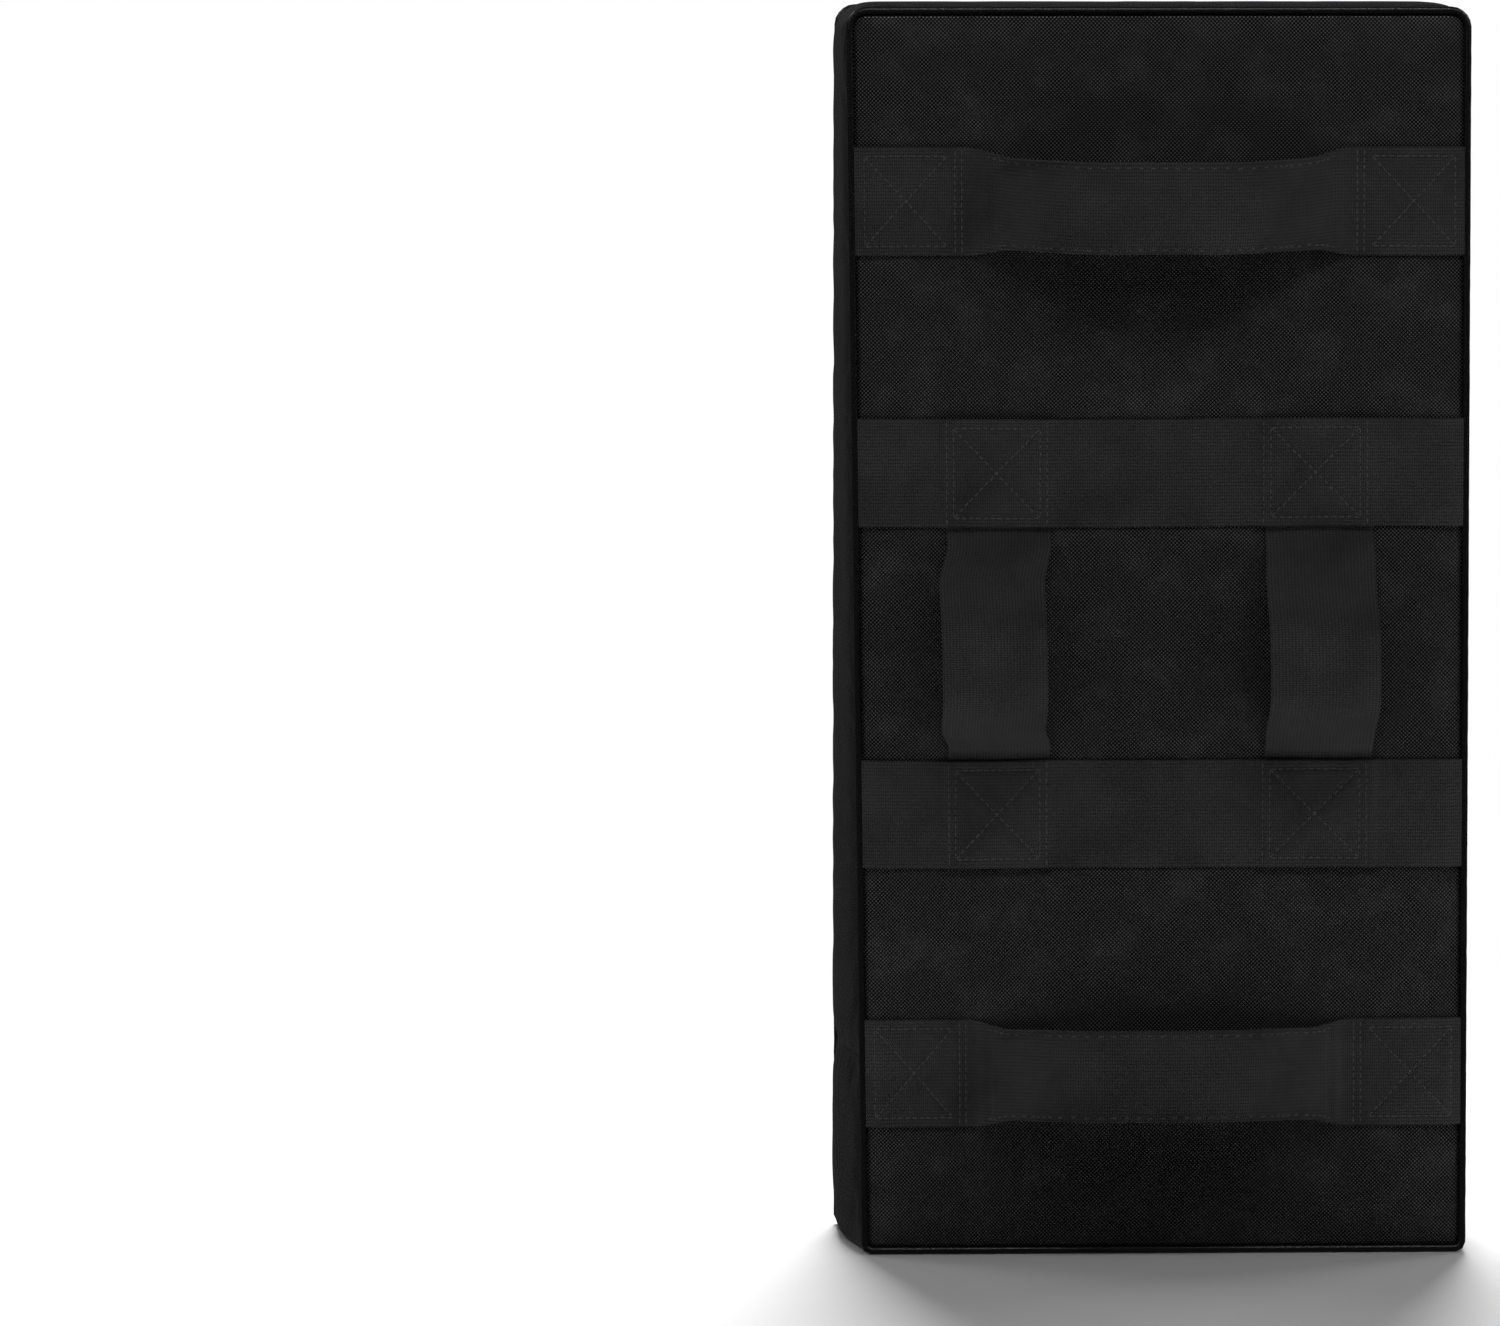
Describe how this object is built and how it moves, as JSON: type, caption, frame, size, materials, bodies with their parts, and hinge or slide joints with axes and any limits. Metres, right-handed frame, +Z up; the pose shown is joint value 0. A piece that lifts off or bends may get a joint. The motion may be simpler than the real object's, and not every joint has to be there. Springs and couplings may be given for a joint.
{
  "type": "kick shield",
  "caption": "Boxed foam striking pad, red face and black back, with padded webbing handles, forearm loops and a zipped base strip.",
  "frame": {"origin": "on the base that it stands on, at the middle of the foam slab's width and depth", "axes": "+Z up along the slab's length, +Y out of the back where the handles are, -Y out of the strike face, +X to the holder's left"},
  "size_m": [0.3, 0.1654, 0.6],
  "materials": {
    "red_vinyl": "satin, embossed",
    "black_vinyl": "satin, embossed",
    "gusset_vinyl": "glossy, smooth",
    "piping": "satin",
    "webbing": "matte weave",
    "thread": "twisted thread",
    "dense_foam": "closed cell",
    "soft_foam": "open cell",
    "firm_foam": "closed cell",
    "zip_tape": "woven tape",
    "zip_coil": "nylon coil",
    "zip_metal": "black lacquer",
    "white_print": "printed film",
    "black_print": "printed film"
  },
  "bodies": {
    "shield": {"strike_foam": "dense_foam", "core_foam": "soft_foam", "backing_foam": "firm_foam", "front_panel": "red_vinyl", "back_panel": "black_vinyl", "gusset_upper": "gusset_vinyl", "gusset_lower": "gusset_vinyl", "front_piping": "piping", "back_piping": "piping", "zip_tape_front": "zip_tape", "zip_tape_back": "zip_tape", "zip_coil_front": "zip_coil", "zip_coil_back": "zip_coil", "zip_stops": "zip_metal", "white_print": "white_print", "black_print": "black_print", "upper_grip_band": "webbing", "lower_grip_band": "webbing", "upper_band_stitching": "thread", "lower_band_stitching": "thread", "left_loop_ends": "webbing", "right_loop_ends": "webbing", "upper_handle_strap_ends": "webbing", "upper_handle_stitching": "thread", "lower_handle_strap_ends": "webbing", "lower_handle_stitching": "thread"},
    "upper_handle": {"upper_handle_webbing": "webbing", "upper_handle_lining": "webbing", "upper_handle_foam": "soft_foam"},
    "lower_handle": {"lower_handle_webbing": "webbing", "lower_handle_lining": "webbing", "lower_handle_foam": "soft_foam"},
    "left_loop": {"left_loop_webbing": "webbing"},
    "right_loop": {"right_loop_webbing": "webbing"},
    "zip_slider": {"zip_slider": "zip_metal"},
    "zip_pull": {"zip_pull": "zip_metal"}
  },
  "joints": [
    {"name": "upper_handle_swing", "type": "hinge", "parent": "shield", "child": "upper_handle", "pos_m": [0, 0.06, 0.507], "axis": [1, 0, 0], "range_deg": [-20, 28], "stiffness_Nm_per_rad": 0.12},
    {"name": "lower_handle_swing", "type": "hinge", "parent": "shield", "child": "lower_handle", "pos_m": [0, 0.06, 0.088], "axis": [1, 0, 0], "range_deg": [-26, 22], "stiffness_Nm_per_rad": 0.12},
    {"name": "left_loop_swing", "type": "hinge", "parent": "shield", "child": "left_loop", "pos_m": [0.0775, 0.06, 0.295], "axis": [0, 0, 1], "range_deg": [-25, 25], "stiffness_Nm_per_rad": 0.05},
    {"name": "right_loop_swing", "type": "hinge", "parent": "shield", "child": "right_loop", "pos_m": [-0.0775, 0.06, 0.295], "axis": [0, 0, 1], "range_deg": [-25, 25], "stiffness_Nm_per_rad": 0.05},
    {"name": "zip_slide", "type": "slide", "parent": "shield", "child": "zip_slider", "axis": [1, 0, 0], "range_m": [0, 0.208]},
    {"name": "zip_pull_swing", "type": "hinge", "parent": "zip_slider", "child": "zip_pull", "pos_m": [-0.104, 0.0256, 0.0042], "axis": [0, 1, 0], "range_deg": [0, 180]}
  ]
}
